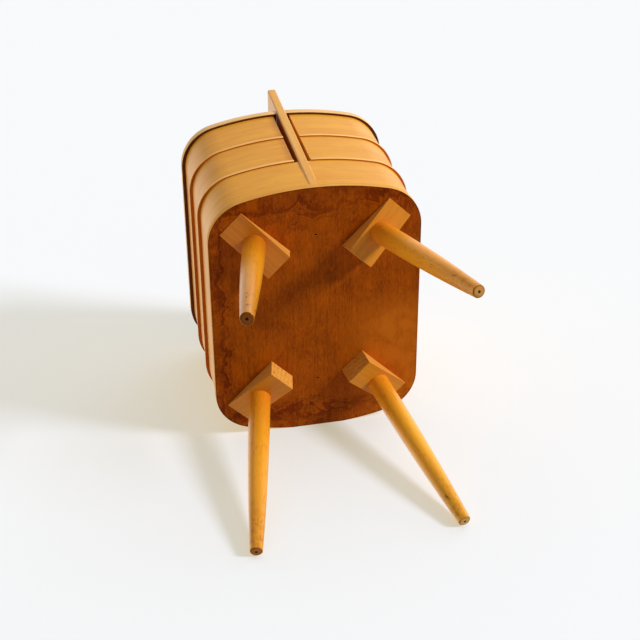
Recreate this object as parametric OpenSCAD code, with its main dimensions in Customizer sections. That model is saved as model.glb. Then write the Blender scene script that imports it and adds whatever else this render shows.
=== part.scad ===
// Sewing box on four turned legs: a fixed lower tier, two tiers of swing-out
// trays on each side of a carrying board, and a hinged lid over each side.
// +Z is up, Y runs along the carrying board, and the floor is at Z = 0.

/* [Plan] */
// Width of the bottom panel
body_w = 260; // [230:1:300]
// Length of the bottom panel on its long axis
body_l = 343; // [310:1:380]
// Radius of the arc that each end follows
bow_r = 368; // [320:1:500]
// Radius of the four corners
corner_r = 54; // [40:1:64]

/* [Bottom panel and walls] */
// Thickness of the bottom panel
panel_t = 9; // [6:0.5:14]
// Height of the bent wall of each tier
wall_h = 66; // [50:1:90]
// Thickness of the bent walls
wall_t = 4; // [3:0.5:6]
// Distance of the walls in from the edge of the bottom panel
wall_inset = 1.75; // [0.5:0.25:4]

/* [Trays] */
// Thickness of the tray floors
floor_t = 4.5; // [3:0.5:7]
// Lip of a tray floor past its wall along the sides
lip_side = 4; // [2.5:0.25:6]
// Lip of a tray floor past its wall at the ends
lip_end = 1.5; // [0.5:0.25:3]
// Thickness of the straight wall beside the carrying board
inner_wall_t = 5; // [3.5:0.5:8]
// Gap from a tray to the face of the carrying board
tray_gap = 5; // [3:0.25:7]
// Clearance between pieces that slide past each other
run_gap = 0.3; // [0.2:0.05:0.6]

/* [Lids] */
// Thickness of a lid
lid_t = 10; // [7:0.5:14]
// Overhang of a lid past the walls along the sides
lid_over_side = 4.5; // [2.5:0.25:8]
// Overhang of a lid past the walls at the ends
lid_over_end = 2.75; // [1:0.25:5]
// Gap from a lid to the face of the carrying board
lid_gap = 1; // [0.5:0.25:2.5]

/* [Carrying board] */
// Thickness of the carrying board
board_t = 11; // [8:0.5:16]
// Length of the carrying board at its foot
board_foot_l = 341.5; // [336:0.5:343]
// Length of the carrying board at its top edge
board_top_l = 355; // [344:0.5:362]
// Height of the carrying board above the lids
board_rise = 58.5; // [50:0.5:80]
// Length of the hand slot
grip_l = 104; // [80:1:140]
// Height of the hand slot
grip_h = 26; // [20:1:28]
// Height of wood left above the hand slot
grip_bar = 17; // [14:0.5:24]
// Bevel on the long edges of the board and round the hand slot
board_bevel = 1.5; // [1:0.25:3]

/* [Legs] */
// Angle of a leg from the vertical
splay = 15.7; // [10:0.1:18]
// Length of a leg from its block to its foot
leg_l = 242; // [200:1:280]
// Radius of a leg at its block
leg_r = 13.6; // [11:0.1:15.5]
// Radius of a leg at its foot
foot_r = 7.5; // [6.5:0.1:9]
// Power of the curve on which a leg tapers
leg_curve = 2.1; // [1:0.1:3]
// Radius of the flat at the end of the foot
end_r = 6; // [4.5:0.1:6.2]
// Radius of the mark that the lathe's centre left in the foot
centre_r = 1.1; // [0.6:0.1:2]
// Depth of the level facet worn on each foot
foot_wear = 0.6; // [0.3:0.1:1]
// Radius of the spigot on top of a leg
spigot_r = 8; // [6:0.5:10]
// Length of the spigot on top of a leg
spigot_l = 7.5; // [5:0.5:8]

/* [Leg blocks] */
// Width of a leg block
block_w = 37; // [32:0.5:44]
// Length of the slanted face of a leg block
block_l = 78; // [70:0.5:90]
// Thickness of a leg block at its outer edge
block_edge_t = 1.3; // [1:0.1:3]
// Distance of a leg block in from the rounded corner
block_in = 16.5; // [12:0.5:20]
// Distance of a leg along the slanted face from the outer edge
leg_in = 38; // [34:0.5:42]

/* [Tray pivots] */
// Radius of the steel pivot rods
rod_r = 3; // [2.5:0.25:4]
// Distance of a pivot rod from the face of the board
pivot_in = 32; // [28:0.5:36]
// Clearance of a swinging tray corner to the board
swing_clear = 1; // [0.5:0.1:1.5]
// Radial clearance of a rod in the pivot blocks
rod_fit = 0.05; // [0.03:0.01:0.1]
// Half width of a pivot block round its rod
pivot_half = 13; // [11:0.5:15]
// Length of a rod that is held in its post
rod_seat = 45; // [30:1:48]
// Thickness of the washers
washer_t = 1.2; // [0.8:0.1:2]
// Radius of the washers
washer_r = 7; // [6.5:0.25:8.5]
// Thickness of the nuts
nut_t = 5; // [4:0.25:6]
// Width of the nuts across their flats
nut_af = 10; // [9:0.5:13]
// Length of thread above a nut
rod_end = 1.5; // [0.75:0.25:2.5]
// Chamfer on the end of a rod
rod_chamfer = 0.6; // [0.3:0.1:0.7]

/* [Hinges] */
// Length of a hinge
hinge_l = 38; // [30:1:60]
// Distance of the hinges from the middle of the lids
hinge_y = 104; // [88:1:120]
// Width of a hinge leaf from the pin
leaf_w = 17; // [14:0.5:20]
// Thickness of a hinge leaf
leaf_t = 1.2; // [0.8:0.1:1.4]
// Radius of the hinge knuckles
knuckle_r = 2.5; // [2.3:0.1:3]
// Number of knuckles on a hinge
knuckle_n = 5; // [3:2:7]
// Clearance between knuckles
knuckle_gap = 0.2; // [0.1:0.05:0.4]
// Radius of the hinge pins
pin_r = 1.1; // [0.9:0.05:1.4]
// Radial clearance of a pin in the knuckles
pin_fit = 0.05; // [0.03:0.01:0.1]

/* [Screws and nails] */
// Radius of a hinge screw's head
screw_head_r = 2.3; // [2:0.1:2.8]
// Radius of a hinge screw's shank
screw_r = 1.1; // [0.9:0.05:1.4]
// Length of a lid hinge screw in the wood
lid_screw_l = 6.5; // [4:0.5:7]
// Length of a board hinge screw in the wood
board_screw_l = 3.8; // [3:0.1:3.9]
// Distance of the hinge screws from the middle of the leaf
screw_y = 12; // [8:0.5:13]
// Radius of the nails that hold the carrying board
nail_r = 0.9; // [0.7:0.05:1.3]
// Radius of their heads
nail_head_r = 1.3; // [1.1:0.05:2]
// Length of the nails
nail_l = 36; // [25:1:60]
// Depth to which their heads are sunk
nail_sink = 3; // [1.5:0.5:5]
// Distance of the front nail from the middle
front_nail_y = 108; // [80:1:125]
// Distance of the back nail from the middle
back_nail_y = 98; // [80:1:125]
// Clearance round each screw and nail
screw_fit = 0.05; // [0.03:0.01:0.1]

/* [Hidden] */

$fn = 64;

// Segments in a whole circle of the wide end arcs
bow_fn = 720;
// Margin by which a cut runs past the faces that it opens
cut = 1;
// Number of straight steps along a leg's curve
leg_steps = 14;

// Plan
half_w = body_w / 2;
half_l = body_l / 2;
board_half = board_t / 2;

// Leg blocks and legs, downwards from the bottom panel
block_rise = block_edge_t + block_l * sin(splay);
block_reach = block_l * cos(splay);
leg_seat_drop = block_edge_t + leg_in * sin(splay);
foot_bevel = foot_r - end_r;
stand_h = leg_seat_drop + leg_l * cos(splay) + end_r * sin(splay) - foot_wear;
corner_x = plan_corner_x(0);
corner_y = plan_corner_y(0, 0);
block_edge_x = corner_x + (corner_r - block_in) * cos(45);
block_edge_y = corner_y + (corner_r - block_in) * sin(45);

// Heights of the tiers
panel_top = stand_h + panel_t;
lower_top = panel_top + wall_h;
tray_h = floor_t + wall_h;
middle_z = lower_top + run_gap;
upper_z = middle_z + tray_h + run_gap;
lid_z = upper_z + tray_h + run_gap;
lid_top = lid_z + lid_t;
board_top = lid_top + board_rise;

// Places across the box
tray_x = board_half + tray_gap;
lid_x = board_half + lid_gap;

// Offsets of the plan for the walls, tray floors and lids
floor_dx = lip_side - wall_inset;
floor_dy = lip_end - wall_inset;
lid_dx = lid_over_side - wall_inset;
lid_dy = lid_over_end - wall_inset;

// Tray pivots: the tray's back inner corner passes the board by swing_clear
pivot_x = board_half + pivot_in;
tray_corner_y = plan_end_y(floor_dy, tray_x);
pivot_y = tray_corner_y - sqrt(pow(pivot_in - swing_clear, 2) - pow(pivot_in - tray_gap, 2));
block_front_y = pivot_y - pivot_half;
block_outer_x = pivot_x + pivot_half;
recess_depth = washer_t + run_gap;
nut_room = 2 * run_gap + washer_t + nut_t + rod_end + washer_t;
upper_block_top = upper_z + tray_h - nut_room;
nut_z = upper_block_top + run_gap + washer_t;
rod_top = nut_z + nut_t + rod_end;

// Hinges
hinge_x = board_half + knuckle_r + knuckle_gap;
hinge_z = lid_top + knuckle_r + knuckle_gap;
knuckle_l = hinge_l / knuckle_n;
leaf_mid = (leaf_w + knuckle_r) / 2;

// Centre of a rounded corner, for a plan that is moved out by dx and dy
function plan_corner_r(dx, dy) = corner_r + (dx + dy) / 2;
function plan_bow_r(dy) = bow_r + dy;
function plan_corner_x(dx, dy = 0) = half_w + dx - plan_corner_r(dx, dy);
function bow_to_corner(dx, dy) = plan_bow_r(dy) - plan_corner_r(dx, dy);
function bow_angle(dx, dy) = asin(plan_corner_x(dx, dy) / bow_to_corner(dx, dy));
function plan_corner_y(dx, dy) = half_l - bow_r + bow_to_corner(dx, dy) * cos(bow_angle(dx, dy));
// Distance of the end arc from the middle at x
function plan_end_y(dy, x) = half_l - bow_r + sqrt(pow(plan_bow_r(dy), 2) - x * x);
// Radius of a leg at the share t of its length
function leg_radius(t) = leg_r - (leg_r - foot_r) * pow(t, leg_curve);

// The plan of the box as a flat shape
module plan(dx, dy) {
    cx = plan_corner_x(dx, dy);
    cy = plan_corner_y(dx, dy);
    a = bow_angle(dx, dy);
    reach = (half_l + dy - cy) / cos(a) + cut;
    square([2 * (half_w + dx), 2 * cy], center = true);
    for (side = [-1, 1], end = [-1, 1]) {
        translate([side * cx, end * cy])
            circle(r = plan_corner_r(dx, dy));
    }
    for (end = [0, 180]) rotate([0, 0, end]) intersection() {
        translate([0, half_l - bow_r])
            circle(r = plan_bow_r(dy), $fn = bow_fn);
        polygon([
            [-cx, 0], [cx, 0], [cx, cy],
            [cx + reach * sin(a), cy + reach * cos(a)],
            [-cx - reach * sin(a), cy + reach * cos(a)],
            [-cx, cy]
        ]);
    }
}

// Everything to the right of x
module right_of(x) {
    intersection() {
        children();
        translate([x, -body_l, -body_l]) cube([body_w, 2 * body_l, 4 * body_l]);
    }
}

// Right half of a plate that starts at x
module half_plate(dx, dy, t, x) {
    right_of(x) linear_extrude(height = t) plan(dx, dy);
}

// Right half of a bent wall that ends at x
module half_wall(x) {
    right_of(x) linear_extrude(height = wall_h) difference() {
        plan(-wall_inset, -wall_inset);
        plan(-wall_inset - wall_t, -wall_inset - wall_t);
    }
}

// Space inside the walls, kept clear of them by a glue line
module inside_walls(h, clear) {
    linear_extrude(height = h) plan(-wall_inset - wall_t - clear, -wall_inset - wall_t - clear);
}

// Draws a piece on the left side when side is -1
module on_side(side) {
    mirror([side < 0 ? 1 : 0, 0, 0]) children();
}

module bottom_panel() {
    color("#7a3a16") translate([0, 0, stand_h]) difference() {
        linear_extrude(height = panel_t) plan(0, 0);
        for (y = [-front_nail_y, back_nail_y]) translate([0, y, -cut]) {
            cylinder(r = nail_r + screw_fit, h = panel_t + 2 * cut);
            cylinder(r = nail_head_r + screw_fit, h = nail_sink + cut);
        }
    }
}

module lower_band(side) {
    color("#dda25a") on_side(side) translate([0, 0, panel_top]) half_wall(board_half);
}

// Bevels the upper right corner of a flat profile
module bevel_cut(c) {
    polygon([[-c - cut, cut], [cut, -c - cut], [cut, cut]]);
}

// Hand slot through the board with a bevel on both faces
module hand_slot() {
    end_x = grip_l / 2 - grip_h / 2;
    r = grip_h / 2;
    for (y = [-end_x, end_x]) translate([0, y, 0]) rotate([0, 90, 0]) {
        cylinder(r = r, h = board_t + 2 * cut, center = true);
        for (face = [0, 180]) rotate([face, 0, 0])
            translate([0, 0, board_half - board_bevel])
                cylinder(r1 = r, r2 = r + board_bevel + cut, h = board_bevel + cut);
    }
    cube([board_t + 2 * cut, 2 * end_x, grip_h], center = true);
    rotate([90, 0, 0]) linear_extrude(height = 2 * end_x, center = true)
        for (face = [-1, 1]) polygon([
            [face * (board_half - board_bevel), r],
            [face * (board_half + cut), r + board_bevel + cut],
            [face * (board_half + cut), -r - board_bevel - cut],
            [face * (board_half - board_bevel), -r]
        ]);
}

module centre_board() {
    h = board_top - panel_top;
    foot_y = board_foot_l / 2;
    top_y = board_top_l / 2;
    lean = atan((top_y - foot_y) / h);
    color("#e3aa62") translate([0, 0, panel_top]) difference() {
        rotate([90, 0, 90]) linear_extrude(height = board_t, center = true)
            polygon([[-foot_y, 0], [foot_y, 0], [top_y, h], [-top_y, h]]);
        for (side = [0, 1], end = [0, 1]) mirror([side, 0, 0]) mirror([0, end, 0])
            translate([board_half, foot_y, 0])
                rotate([-lean, 0, 0])
                    linear_extrude(height = 3 * h, center = true)
                        bevel_cut(board_bevel);
        for (side = [0, 1]) mirror([side, 0, 0])
            translate([board_half, 0, h]) rotate([90, 0, 0])
                linear_extrude(height = 2 * board_top_l, center = true)
                    bevel_cut(board_bevel);
        translate([0, 0, h - grip_bar - grip_h / 2]) hand_slot();
        for (y = [-front_nail_y, back_nail_y])
            translate([0, y, -cut])
                cylinder(r = nail_r + screw_fit, h = nail_l + nail_sink - panel_t + 2 * cut);
        for (side = [-1, 1]) on_side(side) translate([0, 0, -panel_top]) board_screw_holes();
    }
}

// Nails driven up through the bottom panel, with their heads punched in
module board_nails() {
    color("#5c5853") for (y = [-front_nail_y, back_nail_y])
        translate([0, y, stand_h + nail_sink]) {
            cylinder(r = nail_r, h = nail_l);
            translate([0, 0, -nail_r]) cylinder(r = nail_head_r, h = nail_r);
        }
}

// Moves to a corner of the box, with +X along the block from its outer edge inwards
module at_corner(side, end) {
    mirror([side < 0 ? 1 : 0, 0, 0]) mirror([0, end < 0 ? 1 : 0, 0])
        translate([block_edge_x, block_edge_y, stand_h])
            rotate([0, 0, 225])
                children();
}

// Moves to the middle of a leg's seat, with +Z along the leg to its foot
module at_leg() {
    translate([leg_in * cos(splay), 0, -leg_seat_drop])
        rotate([0, 180 + splay, 0])
            children();
}

module leg_block(side, end) {
    color("#d9a04a") at_corner(side, end) difference() {
        rotate([90, 0, 0]) linear_extrude(height = block_w, center = true)
            polygon([
                [0, 0], [0, -block_edge_t], [block_reach, -block_rise],
                [block_reach + block_rise * tan(splay), 0]
            ]);
        at_leg() translate([0, 0, -spigot_l - run_gap])
            cylinder(r = spigot_r + screw_fit, h = spigot_l + run_gap + cut);
    }
}

// A leg on its own axis: spigot below Z = 0, curved taper to the foot
module leg_turning() {
    bevel_z = leg_l - foot_bevel;
    rotate_extrude() polygon(concat(
        [[0, -spigot_l], [spigot_r, -spigot_l], [spigot_r, 0]],
        [for (i = [0:leg_steps]) [leg_radius(i / leg_steps), bevel_z * i / leg_steps]],
        [[end_r, leg_l], [0, leg_l]]
    ));
}

// Pointed hole in the middle of the foot
module centre_mark() {
    depth = 2 * centre_r;
    translate([0, 0, leg_l - depth])
        cylinder(r1 = 0, r2 = centre_r * (depth + cut) / depth, h = depth + cut);
}

module leg(side, end) {
    color("#eeb058") difference() {
        at_corner(side, end) at_leg() difference() {
            leg_turning();
            centre_mark();
        }
        translate([-body_w, -body_l, -foot_r]) cube([2 * body_w, 2 * body_l, foot_r]);
    }
}

// Wooden corner that a rod runs in, between the inner face at x and the bent wall
module pivot_corner(x, h) {
    intersection() {
        inside_walls(h, screw_fit);
        translate([x, block_front_y, 0])
            cube([block_outer_x - x, half_l - block_front_y, h]);
    }
}

module pivot_post(side) {
    color("#d29a55") on_side(side) translate([0, 0, panel_top]) difference() {
        pivot_corner(board_half, wall_h);
        translate([pivot_x, pivot_y, wall_h - rod_seat])
            cylinder(r = rod_r + rod_fit, h = rod_seat + cut);
    }
}

module pivot_rod(side) {
    color("#9a9a98") on_side(side) translate([pivot_x, pivot_y, 0]) {
        translate([0, 0, lower_top - rod_seat])
            cylinder(r = rod_r, h = rod_top - lower_top + rod_seat - rod_chamfer);
        translate([0, 0, rod_top - rod_chamfer])
            cylinder(r1 = rod_r, r2 = rod_r - rod_chamfer, h = rod_chamfer);
    }
}

module washer(z) {
    translate([0, 0, z]) difference() {
        cylinder(r = washer_r, h = washer_t);
        translate([0, 0, -cut]) cylinder(r = rod_r + rod_fit, h = washer_t + 2 * cut);
    }
}

module pivot_washers() {
    color("#b9a06a") for (side = [-1, 1]) on_side(side) translate([pivot_x, pivot_y, 0]) {
        for (z = [middle_z, upper_z, upper_block_top + run_gap]) washer(z);
    }
}

module rod_nuts() {
    nut_r = nut_af / 2 / cos(30);
    color("#9a9a98") for (side = [-1, 1]) on_side(side) translate([pivot_x, pivot_y, nut_z]) difference() {
        intersection() {
            cylinder(r = nut_r, h = nut_t, $fn = 6);
            cylinder(r1 = nut_r + nut_t, r2 = nut_af / 2, h = nut_t);
        }
        translate([0, 0, -cut]) cylinder(r = rod_r + screw_fit, h = nut_t + 2 * cut);
    }
}

module tray_band(side, z) {
    color("#dda25a") on_side(side) translate([0, 0, z + floor_t]) half_wall(tray_x);
}

module tray_inner_wall(side, z) {
    color("#d9a768") on_side(side) translate([0, 0, z + floor_t]) intersection() {
        inside_walls(wall_h, 0);
        translate([tray_x, -body_l, 0]) cube([inner_wall_t, 2 * body_l, wall_h]);
    }
}

module tray_floor(side, z) {
    color("#c98f4c") on_side(side) translate([0, 0, z]) difference() {
        half_plate(floor_dx, floor_dy, floor_t, tray_x);
        translate([pivot_x, pivot_y, -cut]) {
            cylinder(r = rod_r + run_gap, h = floor_t + 2 * cut);
            cylinder(r = washer_r + run_gap, h = recess_depth + cut);
        }
    }
}

module pivot_block(side, z, h) {
    color("#c98f4c") on_side(side) translate([0, 0, z + floor_t]) difference() {
        pivot_corner(tray_x + inner_wall_t, h);
        translate([pivot_x, pivot_y, -cut]) cylinder(r = rod_r + rod_fit, h = h + 2 * cut);
    }
}

module lid(side) {
    color("#6b2f12") on_side(side) difference() {
        translate([0, 0, lid_z]) half_plate(lid_dx, lid_dy, lid_t, lid_x);
        lid_screw_holes();
    }
}

// Moves to each of the two hinges of the right lid
module at_hinges() {
    for (y = [-hinge_y, hinge_y]) translate([hinge_x, y, hinge_z]) children();
}

// Knuckles of one leaf: the even ones belong to the board, the odd ones to the lid
module knuckles(first) {
    rotate([90, 0, 0]) for (i = [first:2:knuckle_n - 1])
        translate([0, 0, -hinge_l / 2 + i * knuckle_l + knuckle_gap / 2])
            cylinder(r = knuckle_r, h = knuckle_l - knuckle_gap);
}

module pin_bore() {
    rotate([90, 0, 0]) cylinder(r = pin_r + pin_fit, h = hinge_l + 2 * cut, center = true);
}

// A leaf that lies below the pin and runs out along +X, with countersunk holes
module leaf(first) {
    leaf_z = -knuckle_r - knuckle_gap;
    root_x = knuckle_r + 2 * knuckle_gap;
    difference() {
        union() {
            translate([root_x, -hinge_l / 2, leaf_z]) cube([leaf_w - root_x, hinge_l, leaf_t]);
            for (i = [first:2:knuckle_n - 1])
                translate([0, hinge_l / 2 - (i + 1) * knuckle_l + knuckle_gap / 2, leaf_z])
                    cube([leaf_w - cut, knuckle_l - knuckle_gap, leaf_t]);
            knuckles(first);
        }
        pin_bore();
        for (y = [-screw_y, screw_y]) translate([leaf_mid, y, leaf_z - cut]) {
            cylinder(r = screw_r + screw_fit, h = leaf_t + 2 * cut);
            translate([0, 0, cut])
                cylinder(r1 = screw_r + screw_fit, r2 = screw_head_r + screw_fit, h = leaf_t);
            translate([0, 0, cut + leaf_t]) cylinder(r = screw_head_r + screw_fit, h = cut);
        }
    }
}

// Turns a lid leaf up against the face of the board
module against_board() {
    mirror([1, 0, -1]) children();
}

module hinge_screws(l) {
    leaf_z = -knuckle_r - knuckle_gap;
    for (y = [-screw_y, screw_y]) translate([leaf_mid, y, leaf_z]) {
        translate([0, 0, -l]) cylinder(r = screw_r, h = l + screw_fit);
        cylinder(r1 = screw_r, r2 = screw_head_r, h = leaf_t);
    }
}

module hinge_screw_holes(l) {
    leaf_z = -knuckle_r - knuckle_gap;
    for (y = [-screw_y, screw_y]) translate([leaf_mid, y, leaf_z - l - screw_fit])
        cylinder(r = screw_r + screw_fit, h = l + cut);
}

module board_screw_holes() {
    at_hinges() against_board() hinge_screw_holes(board_screw_l);
}

module lid_screw_holes() {
    at_hinges() hinge_screw_holes(lid_screw_l);
}

module board_hinge_leaves(side) {
    color("#b8923f") on_side(side) at_hinges() against_board() leaf(0);
}

module lid_hinge_leaves(side) {
    color("#b8923f") on_side(side) at_hinges() leaf(1);
}

module hinge_pins(side) {
    color("#a8a49a") on_side(side) at_hinges()
        rotate([90, 0, 0]) cylinder(r = pin_r, h = hinge_l, center = true);
}

module board_hinge_screws() {
    color("#a8843a") for (side = [-1, 1])
        on_side(side) at_hinges() against_board() hinge_screws(board_screw_l);
}

module lid_hinge_screws(side) {
    color("#a8843a") on_side(side) at_hinges() hinge_screws(lid_screw_l);
}

bottom_panel();
lower_band(-1);  // lower_band_left
lower_band(1);  // lower_band_right
centre_board();
board_nails();
leg_block(-1, -1);  // leg_block_front_left
leg_block(1, -1);  // leg_block_front_right
leg_block(-1, 1);  // leg_block_back_left
leg_block(1, 1);  // leg_block_back_right
leg(-1, -1);  // leg_front_left
leg(1, -1);  // leg_front_right
leg(-1, 1);  // leg_back_left
leg(1, 1);  // leg_back_right
pivot_post(-1);  // pivot_post_left
pivot_post(1);  // pivot_post_right
pivot_rod(-1);  // pivot_rod_left
pivot_rod(1);  // pivot_rod_right
pivot_washers();
rod_nuts();
tray_band(-1, middle_z);  // middle_band_left
tray_inner_wall(-1, middle_z);  // middle_inner_wall_left
tray_floor(-1, middle_z);  // middle_floor_left
pivot_block(-1, middle_z, wall_h);  // middle_pivot_block_left
tray_band(1, middle_z);  // middle_band_right
tray_inner_wall(1, middle_z);  // middle_inner_wall_right
tray_floor(1, middle_z);  // middle_floor_right
pivot_block(1, middle_z, wall_h);  // middle_pivot_block_right
tray_band(-1, upper_z);  // upper_band_left
tray_inner_wall(-1, upper_z);  // upper_inner_wall_left
tray_floor(-1, upper_z);  // upper_floor_left
pivot_block(-1, upper_z, wall_h - nut_room);  // upper_pivot_block_left
tray_band(1, upper_z);  // upper_band_right
tray_inner_wall(1, upper_z);  // upper_inner_wall_right
tray_floor(1, upper_z);  // upper_floor_right
pivot_block(1, upper_z, wall_h - nut_room);  // upper_pivot_block_right
lid(-1);  // lid_left
lid(1);  // lid_right
board_hinge_leaves(-1);  // board_hinge_leaves_left
board_hinge_leaves(1);  // board_hinge_leaves_right
lid_hinge_leaves(-1);  // lid_hinge_leaves_left
lid_hinge_leaves(1);  // lid_hinge_leaves_right
hinge_pins(-1);  // hinge_pins_left
hinge_pins(1);  // hinge_pins_right
board_hinge_screws();
lid_hinge_screws(-1);  // lid_hinge_screws_left
lid_hinge_screws(1);  // lid_hinge_screws_right
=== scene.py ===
"""Looks of the sewing box: woods, brass and steel, the pale stage, the lamps and the camera.

Lengths are in metres. The box stands on its feet: Z is up, the carrying board runs along Y, and the
front end is at -Y. A tone of three numbers is a colour as it looks on screen, 0 to 255. A colour of
four numbers has linear values.
"""

import math

import bpy
from mathutils import Euler, Matrix, Vector


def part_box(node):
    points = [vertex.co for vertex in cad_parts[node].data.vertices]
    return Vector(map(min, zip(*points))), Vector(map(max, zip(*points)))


UP = Vector((0, 0, 1))
SIDES = (("left", -1), ("right", 1))
ENDS = (("front", -1), ("back", 1))
TIERS = ("lower", "middle", "upper")
SWINGING_TIERS = TIERS[1:]

# Camera, from a pinhole fit of the photograph; its roll is in degrees, its lens and sensor in millimetres
CAMERA_AT = Vector((-0.2975, -0.9027, -1.1934))
CAMERA_TO = Vector((-0.0363, -0.1105, 0.0532))
CAMERA_ROLL = -22.09
CAMERA_LENS = 78.7
CAMERA_SENSOR = 36.0
CAMERA_REACH = 50.0

# The ground that the box lies on in the photograph: behind it, tipped a little
GROUND_Y = 0.1632
GROUND_TIP = 0.0273
GROUND_SIZE = 8.0
# Part of it shines by itself, and only to the camera, so its shadows stay soft
GROUND_COLOUR = (0.50, 0.535, 0.655, 1.0)
GROUND_GLOW = (0.44, 0.42, 0.31, 1.0)
BACKDROP = (0.93, 0.93, 0.93, 1.0)

# The floors of the swinging trays, and how far they may move before a tray counts as open
TRAY_FLOORS = ("middle_floor_left", "middle_floor_right", "upper_floor_left", "upper_floor_right")
TRAY_SHUT = 0.002

# Window light: the direction in which it shines, its strength and how wide it is, in degrees
KEY_ALONG = Vector((-0.7595, 0.5736, 0.3069))
KEY_STRENGTH = 2.4
KEY_SOFTNESS = 14.0
KEY_COLOUR = (0.98, 0.99, 1.06)

# Soft light from the far right, low over the ground
FAR_ALONG = Vector((-0.72, 0.12, -0.68))
FAR_STRENGTH = 0.42
FAR_SOFTNESS = 50.0
FAR_COLOUR = (1.0, 0.98, 0.96)

# Light of the surroundings: from the pale ground, also as gloss shows it, from the far side and from
# the camera's side. Left is -X. Under is straight towards +Y, where the lying box shades the ground.
AMBIENT_COLOUR = (1.0, 0.985, 0.95, 1.0)
GROUND_LIGHT = 0.48
GROUND_LIGHT_LEFT = 2.5
GROUND_SHINE = 0.75
GROUND_SHINE_LEFT = 2.0
GROUND_SHINE_UNDER = 0.4
FAR_LIGHT = 1.2
FAR_LIGHT_LEFT = 0.5
NEAR_LIGHT = 0.2

# Optical density of the varnish: low, so that it shines mainly at a glancing angle
VARNISH_IOR = 1.36
BOARD_VARNISH_IOR = 1.45

# Plan of the underside, for the stains along its rim: half width, half length, end arcs and corners
PLAN_X, PLAN_Y, PLAN_BOW, PLAN_CORNER = 0.13, 0.1715, 0.368, 0.054
# How far in from the rim the strong and the faint water line lie, and how far they waver
STAIN_IN, FAINT_STAIN_IN, STAIN_WAVER = 0.024, 0.037, 0.022
# The left side's stains lie nearer to the rim than those of the ends, by this factor
STAIN_LEFT = 1.9

# Radius of the heads of the board's nails, and of the dark marks round their holes
NAIL_HEAD_R, NAIL_MARK_R = 0.0013, 0.0026

# Width of the soft edges of flat boards and of blocks, and the flattest edge that gets one
BOARD_EDGE, BLOCK_EDGE = 0.0006, 0.0007
EDGE_ANGLE = math.radians(35)
# Points nearer to each other than this are joined before an edge is softened
WELD_REACH = 0.00001

# How far the legs lean outwards
LEG_SPLAY = math.radians(15.7)

# The range in which most values of a noise lie
NOISE_LOW, NOISE_HIGH = 0.3, 0.7

# How often each pattern repeats in a metre along X, Y and Z; in solid wood Z is the grain
BEECH_WANDER = (7, 7, 3)
BEECH_FIGURE = (34, 34, 2.2)
BEECH_FLECKS = (620, 620, 95)
BEECH_FIBRES = (240, 240, 9)
LEG_FIBRES = (300, 300, 7)
LEG_DENTS = (200, 200, 80)
WALL_FIBRES = (90, 90, 620)
WALL_FIGURE = (30, 30, 70)
WALL_FLECKS = (900, 900, 1100)
WALL_CLOUDS = (18, 18, 63)
EDGE_FIBRES = (110, 110, 500)
VENEER_FIBRES = (900, 22, 900)
VENEER_PORES = (1700, 150, 1700)
VENEER_FIGURE = (22, 4, 22)
UNDERSIDE_FIBRES = (1000, 150, 1000)
UNDERSIDE_STREAKS = (300, 9, 300)
UNDERSIDE_BLOTCHES = (40, 34, 40)
METAL_SCRATCHES = (2200, 180, 2200)
# The patterns of bent walls and edges are drawn out level by this much
ALONG_WALL = (0.055, 0.055, 1.0)

# Shifts of the pattern, so that no two walls and no two legs look the same
TIER_SEED, LEFT_SEED = 0.37, 0.21
LEG_SEED_X, LEG_SEED_Y = 0.31, 0.77

# Woods, light and dark tone
WALL_TONES = ((236, 168, 46), (218, 139, 30))
INNER_WALL_TONES = ((234, 176, 92), (210, 146, 64))
CARRYING_BOARD_TONES = ((240, 176, 72), (220, 148, 48))
BARE_TONES = ((214, 158, 92), (186, 126, 66))
LID_TONES = ((118, 56, 20), (84, 36, 10))
LID_EDGE_TONES = ((248, 204, 142), (234, 178, 110))
FLOOR_TONES = ((240, 168, 62), (220, 142, 44))
FLOOR_EDGE_TONES = ((250, 200, 128), (236, 178, 98))
UNDERSIDE_TONES = ((192, 92, 4), (128, 53, 1))
UNDERSIDE_EDGE_TONES = ((238, 176, 86), (214, 144, 58))
UNDERSIDE_WARM = (220, 118, 22)
BLOCK_TONES = ((242, 158, 44), (214, 130, 30))
FRONT_LEFT_BLOCK_TONES = ((228, 136, 28), (196, 108, 18))
# Paler sides of the blocks: partly less stained wood, partly painted light
BLOCK_SIDE_TONES = ((246, 176, 80), (222, 144, 50))

# Varnish of each leg, light and dark. Each leg gets its own tone as painted light and shade, after how
# brightly it is lit: the front left one is the darkest, the back ones, lit from the ground beside them,
# lighter
LEG_TONES = {
    ("front", "left"): ((222, 146, 26), (204, 124, 16)),
    ("front", "right"): ((250, 168, 38), (236, 150, 28)),
    ("back", "left"): ((250, 174, 42), (236, 150, 26)),
    ("back", "right"): ((255, 183, 44), (244, 158, 30)),
}

# Bare wood of each leg's worn end, light and dark
LEG_ENDS = {
    ("front", "left"): ((168, 92, 26), (96, 48, 10)),
    ("front", "right"): ((236, 176, 92), (176, 114, 44)),
    ("back", "left"): ((214, 142, 66), (150, 88, 32)),
    ("back", "right"): ((244, 196, 120), (196, 140, 70)),
}

# Tints that darken what lies under them
FLECK_TINT = (196, 136, 80)
WALL_FLECK_TINT = (190, 128, 70)
# Painted shadow that the board casts on the left swinging walls beside it
WALL_BOARD_SHADOW_TINT = (176, 120, 66)
# Painted shade in the gap on the board's left face, beside the left swinging tiers
BOARD_GAP_SHADE_TINT = (230, 176, 112)
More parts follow.
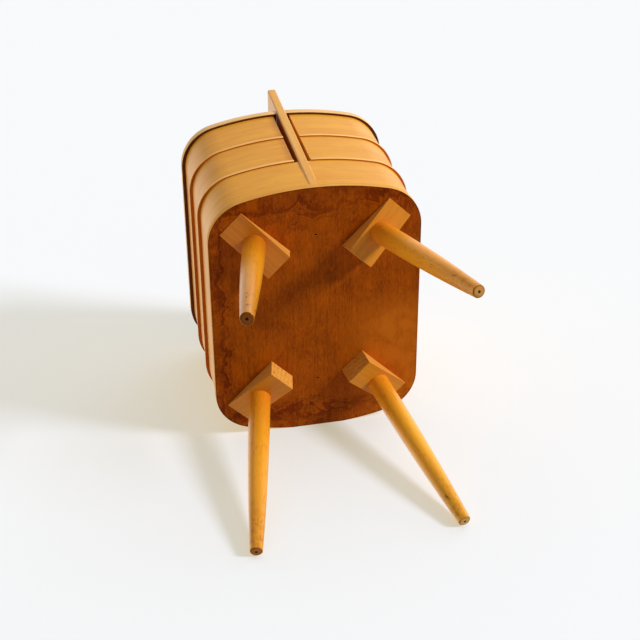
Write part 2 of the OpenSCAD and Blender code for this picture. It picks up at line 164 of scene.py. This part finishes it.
# Painted shade on the downward faces of the tray floors
FLOOR_UNDERSIDE_SHADE_TINT = (222, 170, 112)
RING_TINT = (190, 140, 84)
PORE_TINT = (160, 104, 60)
STAIN_TINT = (166, 110, 56)
RIM_TINT = (110, 70, 40)
NAIL_MARK_TINT = (70, 40, 24)
DIRT_TINT = (170, 100, 48)
NEAR_BLOCK_TINT = (228, 172, 120)
NEAR_FOOT_TINT = (222, 222, 196)
PITH_TINT = (80, 50, 26)
END_RIM_TINT = (120, 80, 48)

# Bare wood in the dents of the legs
DENT_TONE = (74, 40, 16)

# Metals, light and dark tone
BRASS_TONES = ((202, 164, 92), (172, 134, 70))
STEEL_TONES = ((190, 188, 184), (150, 146, 140))
DULL_TONES = ((40, 28, 20), (24, 16, 10))


def srgb(tone):
    """Linear values of a colour that is given as it looks on screen."""
    def one(level):
        level = level / 255
        return level / 12.92 if level <= 0.04045 else ((level + 0.055) / 1.055) ** 2.4
    return tuple(one(level) for level in tone) + (1.0,)


class Nodes:
    """A node tree that is built node by node. An input is a plain value or another node's output."""

    def __init__(self, tree):
        self.tree = tree
        self.tree.nodes.clear()

    def node(self, kind, inputs=(), **settings):
        made = self.tree.nodes.new(kind)
        for key, value in settings.items():
            setattr(made, key, value)
        for key, value in dict(inputs).items():
            self.put(made.inputs[key], value)
        return made

    def put(self, socket, value):
        if isinstance(value, bpy.types.NodeSocket):
            self.tree.links.new(value, socket)
        else:
            socket.default_value = value

    def ramp(self, value, low, high, to_low=0.0, to_high=1.0, smooth=True):
        """Turns the range from low to high into the range from to_low to to_high."""
        return self.node(
            "ShaderNodeMapRange",
            {"Value": value, "From Min": low, "From Max": high, "To Min": to_low, "To Max": to_high},
            interpolation_type="SMOOTHSTEP" if smooth else "LINEAR",
        ).outputs[0]

    def math(self, operation, a, b=0.0):
        return self.node("ShaderNodeMath", {0: a, 1: b}, operation=operation).outputs[0]

    def plus(self, a, b):
        return self.math("ADD", a, b)

    def minus(self, a, b):
        return self.math("SUBTRACT", a, b)

    def times(self, a, b):
        return self.math("MULTIPLY", a, b)

    def absolute(self, a):
        return self.math("ABSOLUTE", a)

    def axis(self, vector, name):
        return self.node("ShaderNodeSeparateXYZ", {0: vector}).outputs[name]

    def length(self, vector):
        return self.node("ShaderNodeVectorMath", {0: vector}, operation="LENGTH").outputs["Value"]

    def diagonal(self, a, b):
        """Length of the diagonal of a rectangle with the sides a and b."""
        return self.length(self.node("ShaderNodeCombineXYZ", {0: a, 1: b}).outputs[0])


class Shader(Nodes):
    """A material that is built node by node."""

    def __init__(self, name):
        self.material = bpy.data.materials.new(name)
        self.material.use_nodes = True
        super().__init__(self.material.node_tree)
        coords = self.node("ShaderNodeTexCoord")
        self.place = coords.outputs["Object"]
        self.normal = coords.outputs["Normal"]

    def position(self, turn=None, shift=(0, 0, 0)):
        """Place in the frame, turned so that local Z runs along the grain."""
        rotation = Euler((0, 0, 0)) if turn is None else turn.to_euler()
        return self.node(
            "ShaderNodeMapping", {"Vector": self.place, "Location": shift, "Rotation": rotation}
        ).outputs[0]

    def stretch(self, vector, scale):
        return self.node("ShaderNodeVectorMath", {0: vector, 1: scale}, operation="MULTIPLY").outputs[0]

    def shifted(self, vector, step):
        return self.node("ShaderNodeVectorMath", {0: vector, 1: step}, operation="ADD").outputs[0]

    def noise(self, vector, scale, detail, roughness=0.5, warp=0.0):
        return self.node(
            "ShaderNodeTexNoise",
            {"Vector": vector, "Scale": scale, "Detail": detail, "Roughness": roughness, "Distortion": warp},
        ).outputs["Fac"]

    def pattern(self, place, repeats, detail, roughness=0.5, warp=0.0):
        """Noise that is drawn out along the axes in which it repeats less often."""
        return self.noise(self.stretch(place, repeats), 1.0, detail, roughness, warp)

    def share(self, noise, amount=1.0):
        """Noise as a share from 0 to an amount."""
        return self.ramp(noise, NOISE_LOW, NOISE_HIGH, 0, amount)

    def mix(self, share, a, b, blend="MIX"):
        """Colour a where the share is 0. The node's own numbers of its two colours are 6 and 7."""
        made = self.node("ShaderNodeMix", data_type="RGBA", blend_type=blend)
        self.put(made.inputs[0], share)
        self.put(made.inputs[6], a)
        self.put(made.inputs[7], b)
        return made.outputs[2]

    def between(self, share, tones):
        """From the light tone at 0 to the dark tone at 1."""
        return self.mix(share, srgb(tones[0]), srgb(tones[1]))

    def darken(self, colour, share, tint):
        return self.mix(share, colour, srgb(tint), "MULTIPLY")

    def facing(self, name, low, high):
        """0 where the normal along an axis is at low, 1 from high on."""
        return self.ramp(self.axis(self.normal, name), low, high)

    def flat_face(self):
        """1 on the upper and lower faces of a board, 0 on its edges."""
        return self.ramp(self.absolute(self.axis(self.normal, "Z")), 0.6, 0.8)

    def bump(self, height, depth, strength):
        return self.node(
            "ShaderNodeBump", {"Height": height, "Distance": depth, "Strength": strength}
        ).outputs[0]

    def surface(self, colour, roughness, normal=None, metallic=0.0, coat=0.0, coat_roughness=0.2, shine=0.0,
                density=VARNISH_IOR):
        """The coat is varnish; the shine is that of the bare surface below it."""
        bsdf = self.node(
            "ShaderNodeBsdfPrincipled",
            {"Base Color": colour, "Roughness": roughness, "Metallic": metallic, "Specular IOR Level": shine,
             "Coat Weight": coat, "Coat Roughness": coat_roughness, "Coat IOR": density},
        )
        if normal is not None:
            self.put(bsdf.inputs["Normal"], normal)
        return bsdf.outputs[0]

    def close(self, surface):
        self.node("ShaderNodeOutputMaterial", {"Surface": surface}).is_active_output = True
        return self.material

    def finish(self, *colour_and_roughness, **settings):
        return self.close(self.surface(*colour_and_roughness, **settings))


def beech_grain(s, place, fibres=BEECH_FIBRES, flecks=0.25, seed=0.0):
    """Share of the dark tone, height of the fibres and share of the short dark flecks of beech."""
    place = s.shifted(place, (seed, seed * 0.7, seed * 1.3))
    wander = s.pattern(place, BEECH_WANDER, detail=2)
    fibre = s.pattern(place, fibres, detail=4, roughness=0.6)
    figure = s.pattern(place, BEECH_FIGURE, detail=2, warp=0.6)
    fleck = s.pattern(place, BEECH_FLECKS, detail=1, roughness=0.4)
    dark_share = s.plus(s.plus(s.share(fibre, 0.45), s.share(figure, 0.35)), s.share(wander, 0.25))
    return dark_share, fibre, s.ramp(fleck, 0.6, 0.72, 0, flecks)


def beech_colour(s, grain, tones):
    """Light and dark tone with darker flecks, where beech_grain puts them."""
    dark_share, _, flecks = grain
    return s.darken(s.between(dark_share, tones), flecks, FLECK_TINT)


def beech_finish(s, grain, colour, coat=0.0, coat_roughness=0.26, density=VARNISH_IOR):
    """Closes a material of beech, with its flecks a little sunk. With a coat of 0 it isn't varnished."""
    _, fibre, flecks = grain
    relief = s.bump(s.minus(fibre, s.times(flecks, 0.6)), depth=0.0002, strength=0.35)
    return s.finish(colour, 0.5, normal=relief, coat=coat, coat_roughness=coat_roughness, density=density)


def bare_wood(name):
    """Beech without varnish, with upright grain."""
    s = Shader(name)
    grain = beech_grain(s, s.position())
    return beech_finish(s, grain, beech_colour(s, grain, BARE_TONES))


def band_wood(name, tones, seed=0.0, beside_board=False):
    """Bent beech: fibres run along the wall, whatever way it bends. Beside the board it may get a painted
    shadow of the board.
    """
    s = Shader(name)
    around = s.stretch(s.position(shift=(seed, seed, seed)), ALONG_WALL)
    fibre = s.pattern(around, WALL_FIBRES, detail=3, roughness=0.6)
    figure = s.pattern(around, WALL_FIGURE, detail=3, warp=0.4)
    cloud = s.pattern(s.position(shift=(seed, seed, 0)), WALL_CLOUDS, detail=4, roughness=0.55, warp=0.3)
    fleck = s.pattern(around, WALL_FLECKS, detail=1, roughness=0.4)
    dark_share = s.plus(s.plus(s.share(fibre, 0.28), s.share(figure, 0.3)), s.share(cloud, 0.3))
    colour = s.between(dark_share, tones)
    colour = s.darken(colour, s.ramp(fleck, 0.6, 0.74, 0, 0.28), WALL_FLECK_TINT)
    if beside_board:
        # Painted shadow of the board: darker towards the board, from 22 mm off its middle inwards
        off_board = s.absolute(s.axis(s.position(), "X"))
        colour = s.darken(colour, s.ramp(off_board, 0.022, 0.011, 0, 0.4), WALL_BOARD_SHADOW_TINT)
    roughness = s.ramp(fibre, 0.2, 0.8, 0.30, 0.42, smooth=False)
    relief = s.bump(fibre, depth=0.0002, strength=0.3)
    return s.finish(colour, roughness, normal=relief, coat=0.75, coat_roughness=0.34)


def board_wood(name):
    """The upright board: paler wood, with painted shade on its left face in the gap beside the left swinging
    tiers.
    """
    s = Shader(name)
    place = s.position()
    grain = beech_grain(s, place)
    height = s.axis(place, "Z")
    low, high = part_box("middle_floor_left")[0][2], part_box("lid_left")[1][2]
    beside_tiers = s.times(s.ramp(height, low, low + 0.004), s.ramp(height, high, high - 0.003))
    near_end = s.ramp(s.absolute(s.axis(place, "Y")), 0.135, 0.155)
    # Painted shade: the board's left face is darkened in the gap where the tiers shade it
    gap_shade = s.times(s.facing("X", -0.7, -0.9), s.times(beside_tiers, near_end))
    colour = s.darken(beech_colour(s, grain, CARRYING_BOARD_TONES), gap_shade, BOARD_GAP_SHADE_TINT)
    return beech_finish(s, grain, colour, coat=0.8, density=BOARD_VARNISH_IOR)


def block_wood(name, tones, turn, seed):
    """Wedge block: amber where it faces down, paler on its sides, with end grain at its ends. The paler
    sides are partly less stained wood and partly painted light, as lit sides look paler than the shaded
    downward face.
    """
    s = Shader(name)
    place = s.position(turn)
    grain = beech_grain(s, place, flecks=0.2, seed=seed)
    side, under = beech_colour(s, grain, BLOCK_SIDE_TONES), beech_colour(s, grain, tones)
    # Partly painted light: paler sides, darker amber where the block faces down
    colour = s.mix(s.facing("Z", -0.8, -0.9), side, under)
    colour = s.darken(colour, end_lines(s, place, turn), RING_TINT)
    return beech_finish(s, grain, colour, coat=0.7, coat_roughness=0.28)


def end_lines(s, place, turn):
    """Growth rings, as fine lines, on the faces that cut across the grain."""
    along_grain = turn.transposed() @ UP
    facing = s.node("ShaderNodeVectorMath", {0: s.normal, 1: along_grain}, operation="DOT_PRODUCT")
    across = s.ramp(s.absolute(facing.outputs["Value"]), 0.8, 0.9)
    flat = s.stretch(place, (1, 1.4, 0))
    rings = s.node(
        "ShaderNodeTexWave",
        {"Vector": flat, "Scale": 60.0, "Distortion": 6.0, "Detail": 3.0, "Detail Scale": 3.0},
        bands_direction="DIAGONAL",
    ).outputs["Fac"]
    return s.times(across, s.ramp(rings, 0.4, 0.1, 0, 0.3))


def edge_colour(s, tones):
    """Pale edge strip with fibres along it."""
    around = s.stretch(s.position(), ALONG_WALL)
    return s.between(s.share(s.pattern(around, EDGE_FIBRES, detail=3, roughness=0.6)), tones)


def veneered_board(name, tones, edge_tones, underside_shade=None):
    """A flat board: veneer with its grain along Y on the two faces, a pale strip on the edges, and, if a
    tint is given, painted shade on the face that looks down.
    """
    s = Shader(name)
    place = s.position()
    fibre = s.pattern(place, VENEER_FIBRES, detail=3, roughness=0.6)
    pores = s.pattern(place, VENEER_PORES, detail=2)
    figure = s.pattern(place, VENEER_FIGURE, detail=3, warp=0.3)
    colour = s.between(s.plus(s.share(fibre, 0.45), s.share(figure, 0.55)), tones)
    colour = s.darken(colour, s.ramp(pores, 0.58, 0.72, 0, 0.55), PORE_TINT)
    # Painted shade on the face that looks down
    if underside_shade is not None:
        colour = s.darken(colour, s.facing("Z", -0.6, -0.8), underside_shade)
    colour = s.mix(s.flat_face(), edge_colour(s, edge_tones), colour)
    relief = s.bump(s.minus(fibre, s.ramp(pores, 0.56, 0.7, 0, 0.7)), depth=0.00018, strength=0.5)
    roughness = s.ramp(fibre, 0.2, 0.8, 0.34, 0.5, smooth=False)
    return s.finish(colour, roughness, normal=relief, coat=0.35, coat_roughness=0.4)


def underside_wood(name):
    """Stained underside: fine fibres along Y, blotches, a lighter zone and old water stains."""
    s = Shader(name)
    place = s.position()
    fibre = s.pattern(place, UNDERSIDE_FIBRES, detail=3, roughness=0.7)
    streak = s.pattern(place, UNDERSIDE_STREAKS, detail=3, roughness=0.6)
    blotch = s.pattern(place, UNDERSIDE_BLOTCHES, detail=5, roughness=0.6, warp=0.4)
    dark_share = s.plus(s.plus(s.share(fibre, 0.6), s.share(streak, 0.25)), s.share(blotch, 0.4))
    colour = s.between(s.ramp(dark_share, 0.15, 1.2, smooth=False), UNDERSIDE_TONES)
    right, back = s.ramp(s.axis(place, "X"), 0.02, 0.09), s.ramp(s.axis(place, "Y"), -0.03, 0.03)
    lighter = s.times(s.times(right, back), s.ramp(blotch, 0.35, 0.6, 0.3, 0.8))
    colour = s.mix(lighter, colour, srgb(UNDERSIDE_WARM))
    colour = s.darken(colour, water_stains(s, place), STAIN_TINT)
    colour = nail_marks(s, place, colour)
    colour = s.darken(colour, s.ramp(rim_distance(s, place), 0.0026, 0.0006, 0, 0.25), RIM_TINT)
    colour = s.mix(s.flat_face(), edge_colour(s, UNDERSIDE_EDGE_TONES), colour)
    relief = s.bump(fibre, depth=0.00018, strength=0.5)
    roughness = s.ramp(fibre, 0.2, 0.8, 0.4, 0.55, smooth=False)
    return s.finish(colour, roughness, normal=relief, coat=0.2, coat_roughness=0.4)


def water_stains(s, place):
    """Share of old water stains: a dark and a faint wavy line in from the rim, and a mottled rim."""
    from_left = s.times(s.plus(s.axis(place, "X"), PLAN_X), STAIN_LEFT)
    from_end = s.minus(PLAN_Y, s.absolute(s.axis(place, "Y")))
    wave = s.noise(place, 32.0, detail=3, roughness=0.6, warp=0.7)
    waver = s.ramp(wave, 0.25, 0.75, -STAIN_WAVER, STAIN_WAVER, smooth=False)
    inwards = s.plus(s.math("MINIMUM", from_left, from_end), waver)
    line = s.ramp(s.absolute(s.minus(inwards, STAIN_IN)), 0.0075, 0.0015, 0, 0.7)
    faint = s.ramp(s.absolute(s.minus(inwards, FAINT_STAIN_IN)), 0.005, 0.001, 0, 0.35)
    mottle = s.ramp(s.noise(place, 75.0, detail=4, roughness=0.65, warp=1.2), 0.44, 0.6, 0, 0.4)
    outside = s.times(s.ramp(inwards, 0.030, 0.020), s.plus(mottle, 0.15))
    strongest = s.math("MAXIMUM", s.math("MAXIMUM", line, faint), outside)
    return s.times(strongest, s.ramp(s.noise(place, 12.0, detail=2), 0.36, 0.5, 0.6, 1.0))


def nail_marks(s, place, colour):
    """A dark mark round each of the two holes of the board's nails."""
    low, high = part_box("board_nails")
    for nail_y in (low[1] + NAIL_HEAD_R, high[1] - NAIL_HEAD_R):
        from_nail = s.diagonal(s.axis(place, "X"), s.minus(s.axis(place, "Y"), nail_y))
        colour = s.darken(colour, s.ramp(from_nail, NAIL_MARK_R, 0.0012, 0, 0.85), NAIL_MARK_TINT)
    return colour


def rim_distance(s, place):
    """Distance inwards from the outline of the underside, as an arc, a side or a rounded corner gives it."""
    x, y = (s.absolute(s.axis(place, name)) for name in "XY")
    centre_y = PLAN_BOW - PLAN_Y
    corner_x = PLAN_X - PLAN_CORNER
    corner_y = math.sqrt((PLAN_BOW - PLAN_CORNER) ** 2 - corner_x ** 2) - centre_y
    from_centre = s.plus(y, centre_y)
    side = s.minus(PLAN_X, x)
    arc = s.minus(PLAN_BOW, s.diagonal(x, from_centre))
    corner = s.minus(PLAN_CORNER, s.diagonal(s.minus(x, corner_x), s.minus(y, corner_y)))
    beyond = s.minus(x, s.times(from_centre, corner_x / (corner_y + centre_y)))
    in_corner = s.times(s.math("GREATER_THAN", beyond, 0.0), s.math("GREATER_THAN", y, corner_y))
    straight = s.times(s.math("MINIMUM", side, arc), s.minus(1.0, in_corner))
    return s.plus(straight, s.times(corner, in_corner))


def leg_wood(name, tones, end_tones, turn, shift, seed):
    """Turned leg. Its local Z is 0 at the foot's end and falls towards the block."""
    s = Shader(name)
    place = s.position(turn, shift)
    along = s.axis(place, "Z")
    varnished = leg_varnish(s, place, along, tones, seed)
    worn = leg_end(s, place, end_tones)
    at_end = s.ramp(along, -0.0016, -0.0006)
    return s.close(s.node("ShaderNodeMixShader", {0: at_end, 1: varnished, 2: worn}).outputs[0])


def leg_varnish(s, place, along, tones, seed):
    """Amber varnish, darker by the block and towards the foot, with dirt and dents near the foot."""
    grain = beech_grain(s, place, fibres=LEG_FIBRES, flecks=0.35, seed=seed)
    _, fibre, _ = grain
    near_foot = s.ramp(along, -0.085, -0.005)
    dirt = s.times(s.ramp(s.noise(place, 130.0, detail=3, roughness=0.6), 0.45, 0.65, 0, 0.35), near_foot)
    knocked = s.times(s.ramp(along, -0.085, -0.045), s.ramp(along, -0.010, -0.020))
    dents = s.pattern(s.shifted(place, (seed, seed, 0)), LEG_DENTS, detail=4, roughness=0.65, warp=1.0)
    dent = s.times(s.ramp(dents, 0.58, 0.68, 0, 0.75), knocked)
    colour = s.darken(beech_colour(s, grain, tones), dirt, DIRT_TINT)
    colour = s.darken(colour, s.ramp(along, -0.15, -0.24, 0, 0.55), NEAR_BLOCK_TINT)
    colour = s.darken(colour, s.ramp(along, -0.13, -0.01, 0, 0.6), NEAR_FOOT_TINT)
    colour = s.mix(dent, colour, srgb(DENT_TONE))
    relief = s.bump(s.minus(fibre, s.times(dent, 3.0)), depth=0.00025, strength=0.4)
    return s.surface(colour, 0.27, normal=relief, coat=0.9, coat_roughness=0.28)


def leg_end(s, place, tones):
    """Worn end of a leg: bare end grain with growth rings, a dark pith and a darker rim."""
    flat = s.stretch(place, (1, 1, 0))
    rings = s.node("ShaderNodeTexWave", {"Vector": flat, "Scale": 260.0, "Distortion": 1.5},
                   wave_type="RINGS", rings_direction="SPHERICAL").outputs["Fac"]
    from_axis = s.length(flat)
    colour = s.between(s.ramp(rings, 0.2, 0.8), tones)
    colour = s.darken(colour, s.ramp(from_axis, 0.0022, 0.0010), PITH_TINT)
    colour = s.darken(colour, s.ramp(from_axis, 0.0050, 0.0066, 0, 0.55), END_RIM_TINT)
    return s.surface(colour, 0.85, shine=0.1)


def metal(name, tones, rough):
    """Aged metal with faint tarnish and fine scratches."""
    s = Shader(name)
    place = s.position()
    tarnish = s.noise(place, 70.0, detail=5, roughness=0.6)
    scratch = s.pattern(place, METAL_SCRATCHES, detail=2)
    colour = s.between(s.ramp(tarnish, 0.35, 0.65), tones)
    roughness = s.ramp(tarnish, NOISE_LOW, NOISE_HIGH, rough - 0.08, rough + 0.12, smooth=False)
    relief = s.bump(scratch, depth=0.00006, strength=0.4)
    return s.finish(colour, roughness, normal=relief, metallic=1.0, shine=0.5)


def put_on(node, material):
    """Replaces every material of a CAD node."""
    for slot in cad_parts[node].material_slots:
        slot.material = material


def soften(node, width):
    """Rounds the sharp edges of a CAD node for the render, without changing its mesh."""
    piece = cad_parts[node]
    weld = piece.modifiers.new("weld", "WELD")
    weld.merge_threshold = WELD_REACH
    bevel = piece.modifiers.new("soft_edges", "BEVEL")
    bevel.width = width
    bevel.segments = 2
    bevel.limit_method = "ANGLE"
    bevel.angle_limit = EDGE_ANGLE
    bevel.harden_normals = True


def leg_axis(x_way, y_way):
    """The way in which a leg points, from its block to its foot."""
    outwards = math.sin(LEG_SPLAY) * math.sqrt(0.5)
    return Vector((x_way * outwards, y_way * outwards, -math.cos(LEG_SPLAY)))


def leg_place(node, axis):
    """Turn and shift that bring a leg's axis to local Z, with its foot's end at 0."""
    turn = axis.rotation_difference(UP).to_matrix()
    points = [turn @ v.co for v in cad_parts[node].data.vertices]
    across = [(min(p[i] for p in points) + max(p[i] for p in points)) / 2 for i in (0, 1)]
    return turn, (-across[0], -across[1], -max(p.z for p in points))


def block_turn(axis):
    """Turn that brings the grain of a wedge block, square to its leg, to local Z."""
    level = Vector((axis.y, -axis.x, 0)).normalized()
    along = Matrix.Rotation(math.radians(90), 3, level) @ axis
    return along.rotation_difference(UP).to_matrix()


def dress_walls():
    for i, tier in enumerate(TIERS):
        for side, _ in SIDES:
            seed = TIER_SEED * i + (side == "left") * LEFT_SEED
            # The left swinging walls get the painted shadow of the board
            board_shadowed = side == "left" and tier in SWINGING_TIERS
            put_on(f"{tier}_band_{side}", band_wood(f"band_{tier}_{side}", WALL_TONES, seed, board_shadowed))


def dress_boards():
    put_on("bottom_panel", underside_wood("underside"))
    put_on("centre_board", board_wood("board_beech"))
    lid = veneered_board("lid_veneer", LID_TONES, LID_EDGE_TONES)
    for side, _ in SIDES:
        put_on(f"lid_{side}", lid)
    tray_floor = veneered_board("tray_floor_ply", FLOOR_TONES, FLOOR_EDGE_TONES, FLOOR_UNDERSIDE_SHADE_TINT)
    for node in TRAY_FLOORS:
        put_on(node, tray_floor)


def dress_insides():
    for side, _ in SIDES:
        put_on(f"pivot_post_{side}", bare_wood(f"post_{side}"))
        for tier in SWINGING_TIERS:
            inner_wall = band_wood(f"inner_wall_{tier}_{side}", INNER_WALL_TONES)
            put_on(f"{tier}_inner_wall_{side}", inner_wall)
            put_on(f"{tier}_pivot_block_{side}", bare_wood(f"block_{tier}_{side}"))


def dress_legs():
    for end, y_way in ENDS:
        for side, x_way in SIDES:
            corner = f"{end}_{side}"
            axis = leg_axis(x_way, y_way)
            turn, shift = leg_place(f"leg_{corner}", axis)
            seed = LEG_SEED_X * x_way + LEG_SEED_Y * y_way
            # The tones of each leg paint how brightly it is lit
            tones, end_tones = LEG_TONES[end, side], LEG_ENDS[end, side]
            put_on(f"leg_{corner}", leg_wood(f"leg_{corner}_varnish", tones, end_tones, turn, shift, seed))
            block_tones = FRONT_LEFT_BLOCK_TONES if corner == "front_left" else BLOCK_TONES
            put_on(f"leg_block_{corner}", block_wood(f"wedge_{corner}", block_tones, block_turn(axis), seed))


def dress_metal():
    brass = metal("aged_brass", BRASS_TONES, 0.34)
    steel = metal("rod_steel", STEEL_TONES, 0.32)
    dull = metal("nail_steel", DULL_TONES, 0.7)
    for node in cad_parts:
        if "leaves" in node or "hinge_screws" in node or node == "pivot_washers":
            put_on(node, brass)
        elif "pins" in node or "rod" in node:
            put_on(node, steel)
        elif node == "board_nails":
            put_on(node, dull)


def soften_edges():
    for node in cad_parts:
        if "floor" in node or node in ("bottom_panel", "lid_left", "lid_right"):
            soften(node, BOARD_EDGE)
        elif "leg_block" in node or "pivot_post" in node or "pivot_block" in node:
            soften(node, BLOCK_EDGE)


def pale_ground(name):
    """Material of the stage: matt, and partly shining by itself; clear from behind."""
    s = Shader(name)
    matt = s.node("ShaderNodeBsdfDiffuse", {"Color": GROUND_COLOUR})
    glow = s.node("ShaderNodeEmission", {"Color": GROUND_GLOW})
    pale = s.node("ShaderNodeAddShader", {0: matt.outputs[0], 1: glow.outputs[0]})
    clear = s.node("ShaderNodeBsdfTransparent")
    behind = s.node("ShaderNodeNewGeometry").outputs["Backfacing"]
    both = s.node("ShaderNodeMixShader", {0: behind, 1: pale.outputs[0], 2: clear.outputs[0]})
    return s.close(both.outputs[0])


def catcher(name, centre, turn):
    """A pale plane that only the camera sees, from its front, and that takes shadows."""
    mesh = bpy.data.meshes.new(name)
    half = GROUND_SIZE / 2
    corners = [(-half, -half, 0), (half, -half, 0), (half, half, 0), (-half, half, 0)]
    mesh.from_pydata(corners, [], [(0, 1, 2, 3)])
    mesh.materials.append(pale_ground(name))
    plane = bpy.data.objects.new(name, mesh)
    bpy.context.scene.collection.objects.link(plane)
    plane.matrix_world = Matrix.Translation(centre) @ turn.to_matrix().to_4x4()
    plane.visible_diffuse = False
    plane.visible_glossy = False
    plane.visible_transmission = False
    plane.visible_shadow = False
    return plane


def away_when_open(plane):
    """Takes a stage plane away while a tray is swung out, because the open tray would cut through it."""
    tree = bpy.data.node_groups.new("away_when_open", "GeometryNodeTree")
    for way in ("INPUT", "OUTPUT"):
        tree.interface.new_socket("Geometry", in_out=way, socket_type="NodeSocketGeometry")
    g = Nodes(tree)
    moved = 0.0
    for tray in TRAY_FLOORS:
        step = g.node("GeometryNodeObjectInfo", {"Object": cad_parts[tray]}).outputs["Location"]
        moved = g.plus(g.length(step), moved)
    is_open = g.math("GREATER_THAN", moved, TRAY_SHUT)
    whole = g.node("NodeGroupInput").outputs[0]
    kept = g.node("GeometryNodeSwitch", {"Switch": is_open, "False": whole}, input_type="GEOMETRY")
    g.node("NodeGroupOutput", {0: kept.outputs[0]})
    plane.modifiers.new("away_when_open", "NODES").node_group = tree


def make_stage():
    tip = math.atan(GROUND_TIP)
    lying = catcher("lying_ground", Vector((0, GROUND_Y, 0)), Euler((math.radians(90) - tip, 0, 0)))
    away_when_open(lying)
    catcher("standing_floor", Vector((0, 0, 0)), Euler((0, 0, 0)))


def light_level(w, towards, glossy_ray):
    """Strength of the surroundings' light, by the direction it comes from and for gloss apart."""
    x, y, z = (w.axis(towards, name) for name in "XYZ")
    far = w.ramp(x, -0.8, 0.6, FAR_LIGHT_LEFT, FAR_LIGHT)
    above = w.ramp(z, -0.45, 0.45, NEAR_LIGHT, far)
    left = w.ramp(z, -0.6, 0.3, GROUND_LIGHT, GROUND_LIGHT_LEFT)
    ground = w.ramp(x, -0.95, -0.35, left, GROUND_LIGHT)
    matt = w.ramp(y, -0.12, 0.32, above, ground)
    under = w.ramp(y, 0.15, 0.45, GROUND_SHINE, GROUND_SHINE_UNDER)
    shine = w.ramp(x, -0.4, 0.0, GROUND_SHINE_LEFT, under)
    glossy = w.ramp(y, -0.35, 0.05, above, shine)
    return w.ramp(glossy_ray, 0.0, 1.0, matt, glossy)


def make_world():
    """Pale where the camera sees it; it lights the box from the ground and the far side."""
    world = bpy.data.worlds.new("pale_room")
    bpy.context.scene.world = world
    world.use_nodes = True
    w = Nodes(world.node_tree)
    path = w.node("ShaderNodeLightPath")
    towards = w.node("ShaderNodeTexCoord").outputs["Generated"]
    level = light_level(w, towards, path.outputs["Is Glossy Ray"])
    lit = w.node("ShaderNodeBackground", {"Color": AMBIENT_COLOUR, "Strength": level})
    seen = w.node("ShaderNodeBackground", {"Color": BACKDROP})
    camera_ray = path.outputs["Is Camera Ray"]
    both = w.node("ShaderNodeMixShader", {0: camera_ray, 1: lit.outputs[0], 2: seen.outputs[0]})
    w.node("ShaderNodeOutputWorld", {"Surface": both.outputs[0]})


def make_lamp(name, along, strength, softness, colour):
    sun = bpy.data.lights.new(name, "SUN")
    sun.energy = strength
    sun.color = colour
    sun.angle = math.radians(softness)
    lamp = bpy.data.objects.new(name, sun)
    lamp.rotation_euler = along.to_track_quat("-Z", "Y").to_euler()
    bpy.context.scene.collection.objects.link(lamp)


def make_camera():
    camera = bpy.data.cameras.new("camera")
    camera.lens = CAMERA_LENS
    camera.sensor_width = CAMERA_SENSOR
    camera.clip_end = CAMERA_REACH
    view = bpy.data.objects.new("camera", camera)
    look = (CAMERA_TO - CAMERA_AT).to_track_quat("-Z", "Y").to_matrix()
    roll = Matrix.Rotation(math.radians(CAMERA_ROLL), 3, "Z")
    view.matrix_world = Matrix.Translation(CAMERA_AT) @ (look @ roll).to_4x4()
    bpy.context.scene.collection.objects.link(view)
    bpy.context.scene.camera = view


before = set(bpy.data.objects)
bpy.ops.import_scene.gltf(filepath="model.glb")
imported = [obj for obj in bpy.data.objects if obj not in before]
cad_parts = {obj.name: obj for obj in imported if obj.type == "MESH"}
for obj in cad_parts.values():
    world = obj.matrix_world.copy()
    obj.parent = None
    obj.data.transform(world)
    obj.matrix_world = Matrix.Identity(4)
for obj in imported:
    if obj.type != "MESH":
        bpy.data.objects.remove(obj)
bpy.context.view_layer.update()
dress_walls()
dress_boards()
dress_insides()
dress_legs()
dress_metal()
soften_edges()
make_stage()
make_world()
make_lamp("window", KEY_ALONG, KEY_STRENGTH, KEY_SOFTNESS, KEY_COLOUR)
make_lamp("far_side", FAR_ALONG, FAR_STRENGTH, FAR_SOFTNESS, FAR_COLOUR)
make_camera()
bpy.context.scene.view_settings.view_transform = "Standard"
